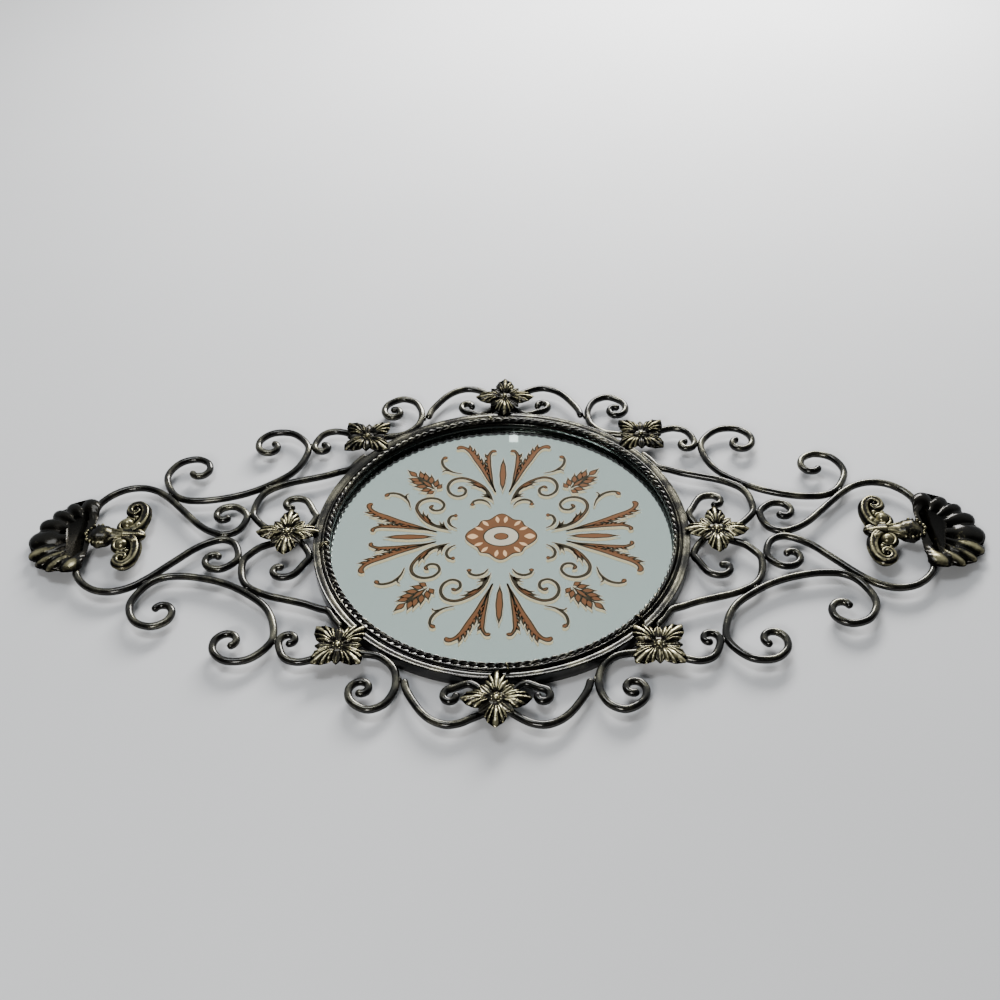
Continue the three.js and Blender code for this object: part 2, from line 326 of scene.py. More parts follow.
# Name, place, size, power and colour; all point at the middle of the mirror
lamps = [
    ("window", (0.3, -0.72, 1.5), (1.0, 0.36), 52, (1.0, 0.985, 0.96)),
    ("low_fill", (-0.35, -0.9, -1.25), (0.4, 0.25), 10, (1.0, 0.985, 0.95)),
    ("front_fill", (-0.5, -1.9, 0.45), (0.8, 0.5), 13, (0.95, 0.975, 1.0)),
    ("glint", (-0.035, -1.18, 1.52), (0.02, 0.02), 0.0022, (1.0, 1.0, 1.0)),
    ("back_fill", (0.5, 1.3, 0.9), (0.8, 0.6), 14, (1.0, 0.985, 0.96)),
]


def addLamp(name, spot, size, power, colour):
    lamp = addObject(name, bpy.data.lights.new(name, "AREA"))
    lamp.data.shape = "RECTANGLE"
    lamp.data.size, lamp.data.size_y = size
    lamp.data.energy = power
    lamp.data.color = colour
    lamp.location = spot
    lamp.rotation_euler = (-Vector(spot)).to_track_quat("-Z", "Y").to_euler()


skyTone = {
    "darkBelow": 0.05,
    "brightAbove": 0.68,
    "dark": (0.055, 0.055, 0.055, 1),
    "bright": (0.74, 0.77, 0.78, 1),
}


def addSky():
    world = bpy.data.worlds.new("studio")
    bpy.context.scene.world = world
    world.use_nodes = True
    tree = world.node_tree
    direction = addNode(tree, "ShaderNodeTexCoord").outputs["Generated"]
    height = addNode(tree, "ShaderNodeSeparateXYZ", {0: direction}).outputs["Z"]
    inputs = {"Value": height, "From Min": skyTone["darkBelow"], "From Max": skyTone["brightAbove"]}
    tone = addNode(tree, "ShaderNodeMapRange", inputs, interpolation_type="SMOOTHSTEP")
    tint = blend(tree, tone.outputs["Result"], skyTone["dark"], skyTone["bright"])
    fillInputs(tree, tree.nodes["Background"], {"Color": tint, "Strength": 1.0})


# The hole hides behind the glass and lets light reach the back of the mirror
backdrop = {
    "size": 6.0,
    "colour": (0.74, 0.75, 0.77),
    "darker": 0.93,
    "mottle": 5.0,
    "roughness": 0.85,
    "gap": 0.6 * mm,
    "hole": 148 * mm,
    "sides": 96,
}


def addBackdrop():
    half, sides = backdrop["size"] / 2, backdrop["sides"]
    points, faces = [], []
    for i, angle in enumerate(around(sides)):
        x, z = cos(angle), sin(angle)
        stretch = half / max(abs(x), abs(z))
        for reach in (backdrop["hole"], stretch):
            points.append((reach * x, backdrop["gap"], reach * z))
        ahead = 2 * ((i + 1) % sides)
        faces.append([2 * i, 2 * i + 1, ahead + 1, ahead])
    mesh = newMesh("wall", points, [], faces)
    material, tree, plaster = newMaterial("pale_plaster")
    spot = addNode(tree, "ShaderNodeTexCoord").outputs["Object"]
    darker = [channel * backdrop["darker"] for channel in backdrop["colour"]]
    tint = blend(tree, noise(tree, spot, backdrop["mottle"], 5.0), (*darker, 1), (*backdrop["colour"], 1))
    fillInputs(tree, plaster, {"Base Color": tint, "Roughness": backdrop["roughness"]})
    clear = addNode(tree, "ShaderNodeBsdfTransparent")
    behind = addNode(tree, "ShaderNodeNewGeometry").outputs["Backfacing"]
    oneSided = addNode(tree, "ShaderNodeMixShader", {0: behind, 1: plaster.outputs[0], 2: clear.outputs[0]})
    fillInputs(tree, tree.nodes["Material Output"], {"Surface": oneSided.outputs[0]})
    mesh.materials.append(material)
    addObject("wall", mesh)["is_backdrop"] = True


addCamera()
addSky()
for lamp in lamps:
    addLamp(*lamp)
addBackdrop()
print("stage ready")


# Finishes
def agedMetalGroup():
    inputs = {"Relief": 0.5, "Rub": 0.0, "Grain": 900.0}
    tree, given, result = newGroup("agedMetal", "ShaderNodeTree", inputs, ["Rubbed", "Mottle", "Height"])
    spot = addNode(tree, "ShaderNodeTexCoord").outputs["Object"]
    blotch = noise(tree, spot, 60.0, 4.0)
    speck = noise(tree, spot, given["Grain"], 3.0)
    normal = addNode(tree, "ShaderNodeNewGeometry").outputs["Normal"]
    # Surfaces that face the front are made lighter
    forward = maths(tree, "MULTIPLY", addNode(tree, "ShaderNodeSeparateXYZ", {0: normal}).outputs["Y"], -0.22)
    wearAndHighlight = maths(tree, "ADD", maths(tree, "ADD", given["Relief"], forward), given["Rub"])
    patchy = maths(tree, "MULTIPLY", maths(tree, "SUBTRACT", blotch, 0.5), 1.6)
    fine = maths(tree, "MULTIPLY", maths(tree, "SUBTRACT", speck, 0.5), 0.9)
    wearAndHighlight = maths(tree, "ADD", wearAndHighlight, maths(tree, "ADD", patchy, fine))
    spread = addNode(tree, "ShaderNodeMapRange", {"Value": wearAndHighlight, "From Min": 0.45, "From Max": 1.2})
    tree.links.new(spread.outputs["Result"], result["Rubbed"])
    tree.links.new(blotch, result["Mottle"])
    tree.links.new(speck, result["Height"])
    return tree


agedMetal = agedMetalGroup()


# A dark metal, rubbed bright on raised places where the piece has a relief attribute; on the shells that
# relief also holds a painted highlight on the lower lobes and painted shade on the upper ones
def metalMaterial(name, dark, bright, rub, roughness, coat, relief, grain, bump):
    material, tree, shader = newMaterial(name)
    aged = addNode(tree, "ShaderNodeGroup", node_tree=agedMetal)
    fillInputs(tree, aged, {"Rub": rub, "Grain": grain})
    if relief:
        height = addNode(tree, "ShaderNodeAttribute", attribute_name="relief").outputs["Fac"]
        fillInputs(tree, aged, {"Relief": height})
    gloss = addNode(tree, "ShaderNodeMapRange", {
        "Value": aged.outputs["Mottle"], "To Min": roughness[0], "To Max": roughness[1]})
    grainBump = addNode(tree, "ShaderNodeBump", {"Height": aged.outputs["Height"], "Distance": bump})
    fillInputs(tree, shader, {
        "Base Color": blend(tree, aged.outputs["Rubbed"], (*dark, 1), (*bright, 1)),
        "Roughness": gloss.outputs["Result"],
        "Normal": grainBump.outputs["Normal"],
        "Metallic": 0.9,
        "Specular Tint": (0.22, 0.22, 0.2, 1),
        "Coat Weight": coat,
        "Coat Roughness": 0.11,
    })
    return material


# Name, dark and bright colour, rub, roughness from and to, coat, relief, grain, bump
blackenedSteel = metalMaterial(
    "blackened_steel", (0.016, 0.0155, 0.014), (0.23, 0.22, 0.16),
    -0.18, (0.2, 0.3), 0.6, False, 900.0, 0.12 * mm)
antiqueGold = metalMaterial(
    "antique_gold", (0.014, 0.012, 0.007), (0.72, 0.66, 0.4),
    0.0, (0.2, 0.34), 0.35, True, 700.0, 0.06 * mm)
# A darker copy of the antique gold: painted shade for the top flowers and the shells
shadedGold = metalMaterial(
    "shaded_gold", (0.012, 0.011, 0.009), (0.34, 0.31, 0.18),
    -0.1, (0.2, 0.36), 0.22, True, 420.0, 0.16 * mm)


def plainMaterial(name, colour, roughness, mottle, scale=80.0, **others):
    material, tree, shader = newMaterial(name)
    spot = addNode(tree, "ShaderNodeTexCoord").outputs["Object"]
    dark = (*[channel * (1 - mottle) for channel in colour], 1)
    bright = (*[min(1, channel * (1 + mottle)) for channel in colour], 1)
    tint = blend(tree, noise(tree, spot, scale, 6.0), dark, bright)
    fillInputs(tree, shader, {"Base Color": tint, "Roughness": roughness})
    for label, value in others.items():
        shader.inputs[label.replace("_", " ")].default_value = value
    return material


copperPaint = plainMaterial("copper_paint", (0.16, 0.067, 0.025), 0.7, 0.2, Specular_IOR_Level=0.1)
olivePaint = plainMaterial("olive_paint", (0.026, 0.022, 0.009), 0.7, 0.2, Specular_IOR_Level=0.1)
creamPaint = plainMaterial("cream_paint", (0.72, 0.46, 0.25), 0.6, 0.06, Specular_IOR_Level=0.1)
palePaint = plainMaterial("pale_paint", (0.5, 0.47, 0.37), 0.6, 0.06, Specular_IOR_Level=0.1)
hardboard = plainMaterial("hardboard", (0.26, 0.17, 0.1), 0.8, 0.3, scale=400.0)
zinc = plainMaterial("zinc_plate", (0.48, 0.49, 0.5), 0.38, 0.15, scale=250.0, Metallic=1.0)
# The emission stands for the light that the silver throws on the back of the paint
paintBack = plainMaterial(
    "paint_back", (0.85, 0.76, 0.62), 0.6, 0.0, Emission_Color=(0.8, 0.72, 0.6, 1), Emission_Strength=0.32)


def evenMaterial(name, inputs):
    material, tree, shader = newMaterial(name)
    fillInputs(tree, shader, inputs)
    return material


silvering = evenMaterial("silvering", {
    "Base Color": (0.72, 0.8, 0.77, 1), "Roughness": 0.015, "Metallic": 1.0})
clearGlass = evenMaterial("clear_glass", {
    "Base Color": (0.94, 0.985, 0.965, 1), "Roughness": 0.0, "IOR": 1.52, "Transmission Weight": 1.0})


# Scroll bars: the same routes as the solids
ringTouch = ringRadius + 0.3 * mm + barRadius


def onRing(degrees):
    return polar(ringTouch, degrees)


def touch(x, z, degrees):
    side = polar(touching / 2, degrees)
    return at(x, z) - side, at(x, z) + side


def curl(eye, mouth, eyeRadius, turn, flare, step=50):
    reach = mouth - eye
    start = eyeRadius * ringRadius
    mouthAngle = math.degrees(math.atan2(reach.y, reach.x))
    steps = math.ceil(abs(turn) / step)
    points = []
    for i in range(steps + 1):
        share = i / steps
        radius = start + (reach.length - start) * share ** flare
        points.append(eye + polar(radius, mouthAngle - turn * (1 - share)))
    return points


shellToInner = touch(1.373, 0.172, 0)
shellToSide = touch(1.843, 0.333, 133)
innerToSide = touch(1.305, 0.388, 57)
cornerToSide = touch(1.107, 0.74, 0)
crestToCorner = touch(0.468, 0.985, 0)
sideCrossing = at(1.14, 0)
crestCrossing = at(0, 1.13)
cornerSeat = at(0.785, 0.79)
near, far = 0, 1

routes = {
    "shell_scroll": [
        *curl(at(1.515, 0.165), shellToInner[far], 0.03, 350, 3),
        at(1.394, 0.11), at(1.425, 0.048), Vector((1.488 * ringRadius, touching / 2)),
        at(1.56, 0.04), at(1.63, 0.086), at(1.72, 0.178), shellToSide[near],
        at(1.93, 0.372), at(2.01, 0.396), at(2.1, 0.384),
        at(2.175, 0.335), at(2.222, 0.27), at(2.236, 0.215),
    ],
    "side_scroll": [
        *curl(at(1.338, 0.735), cornerToSide[far], 0.034, 455, 3),
        at(1.136, 0.62), at(1.19, 0.51), innerToSide[far],
        at(1.42, 0.345), at(1.54, 0.306), at(1.66, 0.288), at(1.76, 0.298),
        *reversed(curl(at(1.725, 0.532), shellToSide[far], 0.034, -420, 2.26)),
    ],
    "inner_scroll": [
        *curl(at(1.16, -0.25), at(1.03, -0.2), 0.0245, -355, 4.7),
        onRing(-8.5), at(1.078, -0.035), sideCrossing, at(1.215, 0.035), at(1.28, 0.078), at(1.325, 0.125),
        shellToInner[near], at(1.352, 0.26), at(1.332, 0.325), innerToSide[near],
        at(1.2, 0.425), at(1.1, 0.456), at(1, 0.485), at(0.925, 0.516), onRing(32), onRing(36), onRing(40),
    ],
    "corner_scroll": [
        *curl(at(0.649, 1.035), at(0.61, 1.165), 0.034, 425, 5.1),
        at(0.535, 1.135), at(0.494, 1.06), crestToCorner[far], at(0.508, 0.91), onRing(55.5),
        at(0.68, 0.818), cornerSeat, at(0.86, 0.826), at(0.92, 0.86), at(0.985, 0.872), at(1.05, 0.843),
        *reversed(curl(at(1.035, 0.73), cornerToSide[near], 0.0225, 325, 2.75)),
    ],
    "crest_scroll": [
        *curl(at(-0.22, 1.09), at(-0.2, 1.035), 0.026, 340, 3.75),
        onRing(97.5), at(-0.065, 1.062), crestCrossing, at(0.06, 1.178), at(0.12, 1.22), at(0.175, 1.248),
        at(0.235, 1.255), at(0.3, 1.23), at(0.35, 1.185), at(0.395, 1.12), at(0.432, 1.05),
        crestToCorner[near],
    ],
}
crossings = {"inner_scroll": sideCrossing, "crest_scroll": crestCrossing}
bars = {
    "radius": 1.09 * barRadius,
    "knotSpacing": 1.5 * mm,
    "spacing": 1.0 * mm,
    "sides": 18,
    "hammer": 0.1 * mm,
    "crossingLength": 0.16 * ringRadius,
    "crossingRise": 3.15 * mm,
    "crossingDepth": 6.65 * mm,
}
quarters = [
    ("top_right", 1, 1),
    ("top_left", -1, 1),
    ("bottom_right", 1, -1),
    ("bottom_left", -1, -1),
]


def routeDepth(point, crossing, over):
    if crossing is None:
        return barDepth
    share = min(1, (point - crossing).length / bars["crossingLength"])
    bend = bars["crossingDepth"] + over * bars["crossingRise"] - barDepth
    return barDepth + bend * cos(share * pi / 2) ** 2


# Ends a tree: copies are made real, and the mesh gets its finish and goes out
def endTree(tree, mesh, finish, result):
    real = addNode(tree, "GeometryNodeRealizeInstances", {"Geometry": mesh}).outputs[0]
    finished = addNode(tree, "GeometryNodeSetMaterial", {"Geometry": real, "Material": finish})
    tree.links.new(finished.outputs[0], result)


# The tree turns a line into a round bar with rounded ends and a slightly uneven, hand worked surface
def barTree():
    inputs = {"line": "NodeSocketGeometry", "finish": "NodeSocketMaterial"}
    inputs.update((label, bars[label]) for label in ("spacing", "radius", "sides", "hammer"))
    tree, given, result = newGroup("bentBar", "GeometryNodeTree", inputs, ["bar"])
    line = addNode(tree, "GeometryNodeMeshToCurve", {"Mesh": given["line"]}).outputs[0]
    inputs = {"Curve": line, "Length": given["spacing"]}
    line = addNode(tree, "GeometryNodeResampleCurve", inputs, mode="LENGTH")
    done = addNode(tree, "GeometryNodeSplineParameter").outputs["Length"]
    whole = addNode(tree, "GeometryNodeSplineLength").outputs["Length"]
    toEnd = maths(tree, "MINIMUM", done, maths(tree, "SUBTRACT", whole, done))
    inCap = maths(tree, "SUBTRACT", 1.0, maths(tree, "DIVIDE", toEnd, given["radius"], clamp=True))
    cap = maths(tree, "SQRT", maths(tree, "SUBTRACT", 1.03, maths(tree, "MULTIPLY", inCap, inCap)))
    width = maths(tree, "MULTIPLY", maths(tree, "MINIMUM", cap, 1.0), given["radius"])
    section = addNode(tree, "GeometryNodeCurvePrimitiveCircle", {"Resolution": given["sides"], "Radius": 1.0})
    bar = addNode(tree, "GeometryNodeCurveToMesh", {
        "Curve": line.outputs[0], "Profile Curve": section.outputs[0], "Scale": width, "Fill Caps": True})
    spot = addNode(tree, "GeometryNodeInputPosition").outputs[0]
    normal = addNode(tree, "GeometryNodeInputNormal").outputs[0]
    dents = maths(tree, "SUBTRACT", noise(tree, spot, 110.0, 2.0), 0.55)
    push = maths(tree, "MULTIPLY", maths(tree, "MULTIPLY", dents, given["hammer"]), 2.0)
    offset = addNode(tree, "ShaderNodeVectorMath", {0: normal, "Scale": push}, operation="SCALE").outputs[0]
    bar = addNode(tree, "GeometryNodeSetPosition", {"Geometry": bar.outputs[0], "Offset": offset})
    endTree(tree, bar.outputs[0], given["finish"], result["bar"])
    return tree


# Runs a tree on a line of points, or on nothing, and keeps the plain mesh
def grow(name, tree, points=(), **values):
    edges = [(i, i + 1) for i in range(len(points) - 1)]
    start = addObject(name + "_line", newMesh(name + "_line", points, edges, []))
    modifier = start.modifiers.new("grow", "NODES")
    modifier.node_group = tree
    sockets = {item.name: item.identifier for item in tree.interface.items_tree if item.in_out == "INPUT"}
    for label, value in values.items():
        modifier[sockets[label]] = value
    depsgraph = bpy.context.evaluated_depsgraph_get()
    grown = bpy.data.meshes.new_from_object(start.evaluated_get(depsgraph))
    start.modifiers.remove(modifier)
    bpy.data.objects.remove(start)
    return finishPiece(name, grown)


def addBars():
    tree = barTree()
    for kind, route in routes.items():
        for name, across, up in quarters:
            over = across if kind == "crest_scroll" else up
            knots = []
            for point in route:
                depth = routeDepth(point, crossings.get(kind), over)
                knots.append(place(mirror(point, across, up), depth))
            line = smoothLine(knots, bars["knotSpacing"])
            bar = grow(f"bar_{kind}_{name}", tree, line, finish=blackenedSteel)
            dress(bar, "blackened_steel", f"{kind}_{name}")


addBars()
print("bars bent")


# Ring, rope, glass, board
ring = {
    "steps": 240,
    "rebate": 152.9 * mm,
    "sight": 151.0 * mm,
    "ledgeBack": 7.2 * mm,
    "ledgeFront": 10.5 * mm,
    "lipInside": 156.2 * mm,
    "lipOutside": 157.8 * mm,
    "lipRise": 3.4 * mm,
    "edge": 0.5 * mm,
    "band": smoothLine([(drop * mm, height * mm) for drop, height in (
        (0, -2.0), (0, 0.7), (0.15, 1.5), (0.5, 1.95), (1.0, 2.05), (1.5, 1.8), (2.4, 1.75), (3.8, 1.75),
        (5.2, 1.55), (6.5, 1.15), (7.2, 0.6), (7.6, 0.3), (8.0, 0.5), (8.2, 1.6))], 0.5 * mm),
}


def arc(radius, depth, size, start, end, steps):
    points = []
    for i in range(steps + 1):
        angle = math.radians(mix(start, end, i / steps))
        points.append((radius + size * cos(angle), depth + size * sin(angle)))
    return points


def ringSection():
    front, edge = ring["ledgeFront"], ring["edge"]
    lipHalf = (ring["lipOutside"] - ring["lipInside"]) / 2
    lipMiddle = ring["lipInside"] + lipHalf
    lipFront = front + ring["lipRise"] - lipHalf
    section = [(ring["rebate"], 0), (ringRadius - edge, 0), (ringRadius, edge)]
    for drop, height in ring["band"]:
        section.append((ringRadius - drop, front + height))
    section += arc(lipMiddle, lipFront, lipHalf, 0, 180, 8)
    section += [(ring["lipInside"], front + edge), (ring["lipInside"] - edge, front)]
    section += arc(ring["sight"] + edge, front - edge, edge, 90, 180, 3)
    section += [(ring["sight"], ring["ledgeBack"]), (ring["rebate"], ring["ledgeBack"])]
    return section


def turned(name, section, steps, material, smooth=True):
    rows = []
    for i in range(steps):
        rows.append([place(polar(radius, 360 * i / steps), depth) for radius, depth in section])
    shape = Casting()
    shape.addTube(rows + [rows[0]], caps=False)
    return shape.piece(name, material, smooth)


def addRing():
    piece = turned("ring_moulding", ringSection(), ring["steps"], blackenedSteel)
    dress(piece, "blackened_steel", "mirror_ring")


rope = {
    "radius": 153.1 * mm,
    "depth": 13.3 * mm,
    "strandOffset": 1.08 * mm,
    "strandRadius": 1.41 * mm,
    "strandSides": 10,
    "strands": 2,
    "turns": 65.0,
    "points": 1560,
}


def ropeTree():
    inputs = {"nothing": "NodeSocketGeometry", **rope, "finish": "NodeSocketMaterial"}
    tree, given, result = newGroup("twistedRope", "GeometryNodeTree", inputs, ["rope"])
    path = addNode(tree, "GeometryNodeCurvePrimitiveCircle", {"Resolution": given["points"], "Radius": 1.0})
    copies = addNode(tree, "GeometryNodeDuplicateElements", {
        "Geometry": path.outputs[0], "Amount": given["strands"]}, domain="SPLINE")
    share = addNode(tree, "GeometryNodeSplineParameter").outputs["Factor"]
    along = maths(tree, "MULTIPLY", share, 2 * pi)
    strand = maths(tree, "DIVIDE", copies.outputs["Duplicate Index"], given["strands"])
    strand = maths(tree, "MULTIPLY", strand, 2 * pi)
    lay = maths(tree, "ADD", maths(tree, "MULTIPLY", along, given["turns"]), strand)
    outwards = maths(tree, "MULTIPLY", maths(tree, "COSINE", lay), given["strandOffset"])
    radius = maths(tree, "ADD", outwards, given["radius"])
    forwards = maths(tree, "MULTIPLY", maths(tree, "SINE", lay), given["strandOffset"])
    depth = maths(tree, "SUBTRACT", maths(tree, "MULTIPLY", forwards, -1.0), given["depth"])
    spot = addNode(tree, "ShaderNodeCombineXYZ", {
        "X": maths(tree, "MULTIPLY", radius, maths(tree, "COSINE", along)),
        "Y": depth,
        "Z": maths(tree, "MULTIPLY", radius, maths(tree, "SINE", along)),
    })
    strands = addNode(tree, "GeometryNodeSetPosition", {
        "Geometry": copies.outputs["Geometry"], "Position": spot.outputs[0]})
    section = addNode(tree, "GeometryNodeCurvePrimitiveCircle", {
        "Resolution": given["strandSides"], "Radius": given["strandRadius"]})
    mesh = addNode(tree, "GeometryNodeCurveToMesh", {
        "Curve": strands.outputs[0], "Profile Curve": section.outputs[0]})
    endTree(tree, mesh.outputs[0], given["finish"], result["rope"])
    return tree


def addRope():
    piece = grow("twisted_rope", ropeTree(), finish=blackenedSteel)
    dress(piece, "blackened_steel", "rope_ring")


glass = {
    "radius": 152.4 * mm,
    "back": 3.9 * mm,
    "front": 6.9 * mm,
    "edge": 0.3 * mm,
    "silverBack": 3.75 * mm,
    "silverFront": 3.85 * mm,
    "silverEdge": 0.02 * mm,
    "boardFront": 3.6 * mm,
    "boardEdge": 0.4 * mm,
    "steps": 180,
}


def addDisc(name, back, front, edge, material, slot, *nodes):
    radius = glass["radius"]
    section = [
        (0, back), (radius - edge, back), (radius, back + edge),
        (radius, front - edge), (radius - edge, front), (0, front),
    ]
    dress(turned(name, section, glass["steps"], material, smooth=False), slot, *nodes)


def addGlass():
    pane = glass["back"], glass["front"], glass["edge"]
    silver = glass["silverBack"], glass["silverFront"], glass["silverEdge"]
    board = 0, glass["boardFront"], glass["boardEdge"]
    addDisc("glass_pane", *pane, clearGlass, "silvered_glass", "mirror_glass")
    addDisc("silver_layer", *silver, silvering, "silvered_glass")
    addDisc("hardboard_back", *board, hardboard, "backing_board", "back_board")


addRing()
addRope()
addGlass()
print("ring, rope and glass in place")


# The painted pattern on the glass: brush strokes drawn for the eighth of the circle above the right
# hand axis, as shares of the ring's radius, with the half width at shares of the stroke's length
paint = {
    "back": 6.91 * mm,
    "thickness": 0.05 * mm,
    "levelStep": 0.6,
    "outline": 0.007,
    "plainBelow": 0.0095,
    "copperGrowth": 1.45,
    "thinnest": 0.00001,
    "halo": 0.0028,
    "spacing": 1.3 * mm,
}
thinStroke = [(0, 0.0035), (0.5, 0.0085), (0.85, 0.008), (0.92, 0.0145), (1, 0.0145)]
plumeOuter = [
    (0.345, 0.037), (0.43, 0.07), (0.52, 0.105), (0.605, 0.143), (0.685, 0.185), (0.722, 0.222),
    (0.728, 0.252), (0.708, 0.262),
]
plumeInner = [
    (0.345, 0.037), (0.42, 0.058), (0.5, 0.07), (0.6, 0.082), (0.66, 0.08), (0.693, 0.06),
    (0.688, 0.038),
]
voluteLine = [
    (0.268, 0.047), (0.33, 0.068), (0.39, 0.105), (0.438, 0.16), (0.466, 0.226), (0.45, 0.278),
    (0.4, 0.303), (0.345, 0.29), (0.317, 0.248), (0.333, 0.21), (0.371, 0.205), (0.39, 0.228),
    (0.376, 0.249),
]
strokes = [
    (plumeOuter, [(0, 0.004), (0.35, 0.0135), (0.65, 0.0185), (0.88, 0.013), (0.95, 0.017), (1, 0.017)]),
    (plumeInner, [(0, 0.004), (0.4, 0.0115), (0.7, 0.0145), (0.9, 0.0105), (0.96, 0.0145), (1, 0.0145)]),
    (voluteLine, [
        (0, 0.003), (0.25, 0.011), (0.45, 0.01), (0.8, 0.0078), (0.93, 0.0085), (0.97, 0.0135), (1, 0.0135),
    ]),
    ([(0.35, 0.086), (0.398, 0.124), (0.424, 0.168), (0.43, 0.207)],
     [(0, 0.004), (0.5, 0.013), (1, 0.001)]),
    ([(0.385, 0.118), (0.404, 0.152), (0.4, 0.182)], [(0, 0.009), (0.5, 0.007), (1, 0.001)]),
    ([(0.285, 0.056), (0.318, 0.082), (0.338, 0.122)], [(0, 0.003), (0.5, 0.009), (1, 0.001)]),
    ([(0.3, 0.066), (0.335, 0.084), (0.362, 0.094)], [(0, 0.004), (0.5, 0.007), (1, 0.001)]),
    ([(0.3, 0.066), (0.312, 0.092), (0.312, 0.122)], [(0, 0.004), (0.5, 0.006), (1, 0.001)]),
    ([(0.238, 0.061), (0.272, 0.085), (0.287, 0.122), (0.272, 0.158), (0.238, 0.163)], thinStroke),
    ([(0.5, 0.226), (0.52, 0.288), (0.566, 0.335), (0.622, 0.345), (0.648, 0.318)], thinStroke),
    ([(0.528, 0.302), (0.53, 0.33), (0.515, 0.342)], [(0, 0.005), (1, 0.004)]),
]
# Line, shares of its length where teeth stand, lean in degrees, length, width
teeth = [
    (plumeOuter, (0.34, 0.43, 0.52, 0.61, 0.7, 0.79), -28, 0.072, 0.0135),
    (plumeInner, (0.38, 0.5, 0.62, 0.74), 25, 0.058, 0.012),
]
spindle = (
    [(0.35, 0.0), (0.4925, 0.0), (0.635, 0.0)],
    [(0, 0.0008), (0.28, 0.0165), (0.5, 0.0205), (0.72, 0.0165), (1, 0.0008)],
)
# Each pair of leaflets has a place on the stem, a lean in degrees and a length
leaf = {
    "base": 0.37 * sqrt(2),
    "pairs": [
        (-0.002, 75, 0.058), (0.016, 56, 0.082), (0.046, 43, 0.096), (0.08, 34, 0.096), (0.112, 28, 0.086)],
    "width": 0.019,
    "stemStart": -0.004,
    "stemLength": 0.166,
    "stemWidth": 0.015,
    "halfGap": 0.007,
    "tipStart": 0.146,
    "tipLength": 0.096,
}
rosette = {
    "radius": 0.194,
    "lobes": [(0, 1), (35, 0.79), (47, 0.84), (63, 0.76), (90, 0.915)],
    "window": (0.09, 0.07),
    "eye": (0.04, 0.027),
    "eyeCopper": 0.85,
    "steps": 96,
    "slots": [  # place, length, width
        (0.119, 0.059, 0.05, 0.0105),
        (0.086, 0.099, 0.05, 0.0105),
        (0.0225, 0.128, 0.05, 0.0105),
        (0.152, 0, 0.058, 0.02),
    ],
}
mirrored = [(1, 1), (1, -1), (-1, 1), (-1, -1)]
olive, copper, cream, silverSide, pale = range(5)


# Narrows a stroke towards its ends; the higher the power, the blunter they are
def bluntEnds(share, power):
    return sqrt(max(0.02, 1 - abs(2 * share - 1) ** power))


class Paint:
    def __init__(self):
        self.vertices = []
        self.faces = []
        self.colours = []

    # A flat strip between two edges, thin and closed; a higher level lies on a lower one
    def addStrip(self, leftEdge, rightEdge, colour, level, closed=False):
        foot = paint["back"]
        front = foot + paint["thickness"] * (1 + paint["levelStep"] * level)
        start = len(self.vertices)
        for left, right in zip(leftEdge, rightEdge):
            for side, depth in ((left, front), (right, front), (right, foot), (left, foot)):
                self.vertices.append(place(side, depth))
        count = len(leftEdge)
        for i in range(count if closed else count - 1):
            here, ahead = start + 4 * i, start + 4 * ((i + 1) % count)
            for corner in range(4):
                beside = (corner + 1) % 4
                self.faces.append([here + corner, here + beside, ahead + beside, ahead + corner])
                self.colours.append(silverSide if corner == 2 else colour)
        if not closed:
            last = start + 4 * (count - 1)
            self.faces.append([start + 3, start + 2, start + 1, start])
            self.faces.append([last, last + 1, last + 2, last + 3])
            self.colours.extend([colour, colour])

    # An olive brush stroke with a pale rim under it and a narrower copper stroke on it
    def addStroke(self, line, widths):
        for colour, level in ((pale, -1), (olive, 0), (copper, 1)):
            lefts, rights = [], []
            for i, point in enumerate(line):
                share = i / (len(line) - 1)
                width = follow(widths, share) * bluntEnds(share, 24)
                if colour == pale:
                    width += paint["halo"]
                if colour == copper:
                    grown = (width - paint["plainBelow"]) * paint["copperGrowth"]
                    width = min(width - paint["outline"], grown)
                side = sideways(line, i) * max(width * ringRadius, paint["thinnest"])
                lefts.append(point + side)
                rights.append(point - side)
            self.addStrip(lefts, rights, colour, level)

    def addRoundel(self, half, colour, level):
        outline = ellipse(half)
        self.addStrip(outline, [point * 0.02 for point in outline], colour, level, closed=True)


def ellipse(half):
    return [at(half[0] * cos(angle), half[1] * sin(angle)) for angle in around(rosette["steps"])]


def rosetteEdge(inset=0.0):
    points = []
    for i in range(rosette["steps"]):
        degrees = 360 * i / rosette["steps"]
        fromAxis = min(degrees % 180, 180 - degrees % 180)
        radius = rosette["radius"] * follow(rosette["lobes"], fromAxis) - inset
        points.append(polar(radius * ringRadius, degrees))
    return points


# The eight images of a line in the pattern
def copies(line):
    for image in (line, [point.yx for point in line]):
        for across, up in mirrored:
            yield [mirror(point, across, up) for point in image]


def lens(start, degrees, length, width):
    tip = start + polar(length * ringRadius, degrees)
    line = smoothLine([start, (start + tip) / 2, tip], paint["spacing"])
    return line, [(0, 0.001), (0.4, width), (1, 0.0008)]


def addPaint():
    layer = Paint()
    for points, widths in strokes:
        for line in copies([at(x, z) for x, z in points]):
            layer.addStroke(smoothLine(line, paint["spacing"]), widths)
    for points, shares, lean, length, width in teeth:
        line = smoothLine([at(x, z) for x, z in points], paint["spacing"])
        for share in shares:
            here = int(share * (len(line) - 1))
            ahead = line[here + 1] - line[here]
            heading = math.degrees(math.atan2(ahead.y, ahead.x)) + lean
            tooth, widths = lens(line[here], heading, length, width)
            for copy in copies(tooth):
                layer.addStroke(copy, widths)
    for turn in (0, 90, 180, 270):
        addSpindleAndLeaf(layer, turn)
    addRosette(layer)
    materials = [olivePaint, copperPaint, creamPaint, paintBack, palePaint]
    piece = newPiece("painted_scrolls", layer.vertices, layer.faces, materials, layer.colours, smooth=False)
    dress(piece, "painted_pattern")


